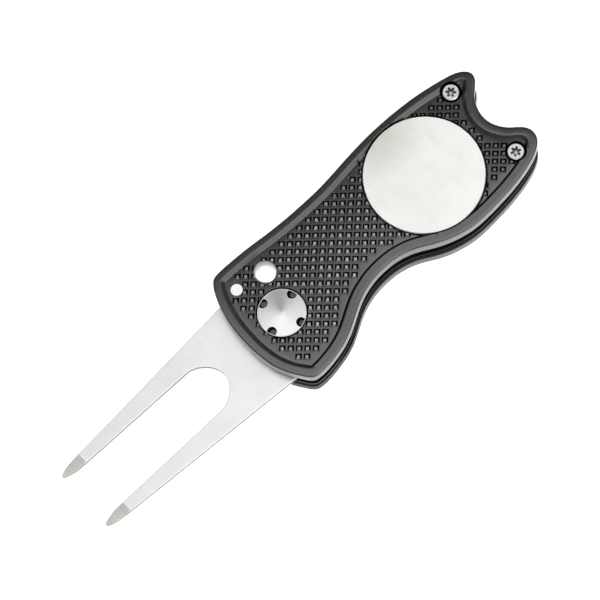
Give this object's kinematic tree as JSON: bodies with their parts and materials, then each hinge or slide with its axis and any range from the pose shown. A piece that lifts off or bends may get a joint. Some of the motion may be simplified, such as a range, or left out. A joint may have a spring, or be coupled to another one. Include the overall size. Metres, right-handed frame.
{
  "type": "divot repair tool",
  "caption": "Folding golf divot repair tool: a two-tine steel fork pivots out of a textured black handle that carries a magnetic ball marker and a release button.",
  "frame": {"origin": "on the fork's pivot axis, at mid thickness of the fork", "axes": "+X from the pivot towards the handle's horned tail, +Y towards the button side, +Z out of the front face; the open fork points to -X"},
  "size_m": [0.1167, 0.0299, 0.012],
  "materials": {
    "black_moulding": "satin black moulding with a checkered grip field",
    "black_steel": "blackened sheet steel",
    "turned_steel": "fine turned",
    "bright_steel": "polished",
    "brushed_steel": "satin stainless steel",
    "spring_steel": "drawn wire",
    "magnet_plating": "nickel plated",
    "washer_plastic": "natural nylon"
  },
  "bodies": {
    "handle": {"front_scale": "black_moulding", "rear_scale": "black_moulding", "front_liner": "black_steel", "rear_liner": "black_steel", "spine_spacer": "black_steel", "pivot_sleeve": "turned_steel", "pivot_nut": "turned_steel", "pivot_screw": "turned_steel", "front_washer": "washer_plastic", "rear_washer": "washer_plastic", "torsion_spring": "spring_steel", "spring_anchor_pin": "turned_steel", "button_spring": "spring_steel", "stop_pin": "bright_steel", "tail_standoffs": "turned_steel", "tail_screws": "bright_steel", "marker_magnet": "magnet_plating"},
    "fork": {"fork": "brushed_steel", "fork_drive_pin": "turned_steel"},
    "button": {"button": "bright_steel", "lock_plunger": "turned_steel"},
    "ball_marker": {"ball_marker": "brushed_steel"}
  },
  "joints": [
    {"name": "fork_fold", "type": "hinge", "parent": "handle", "child": "fork", "pos_m": [0, 0, 0], "axis": [0, 0, 1], "range_deg": [0, 184], "deforming": ["torsion_spring"]},
    {"name": "button_press", "type": "slide", "parent": "handle", "child": "button", "axis": [0, 0, -1], "range_m": [0, 0.00135], "deforming": ["button_spring"]},
    {"name": "marker_lift", "type": "slide", "parent": "handle", "child": "ball_marker", "axis": [0, 0, 1], "range_m": [0, 0.012]}
  ]
}
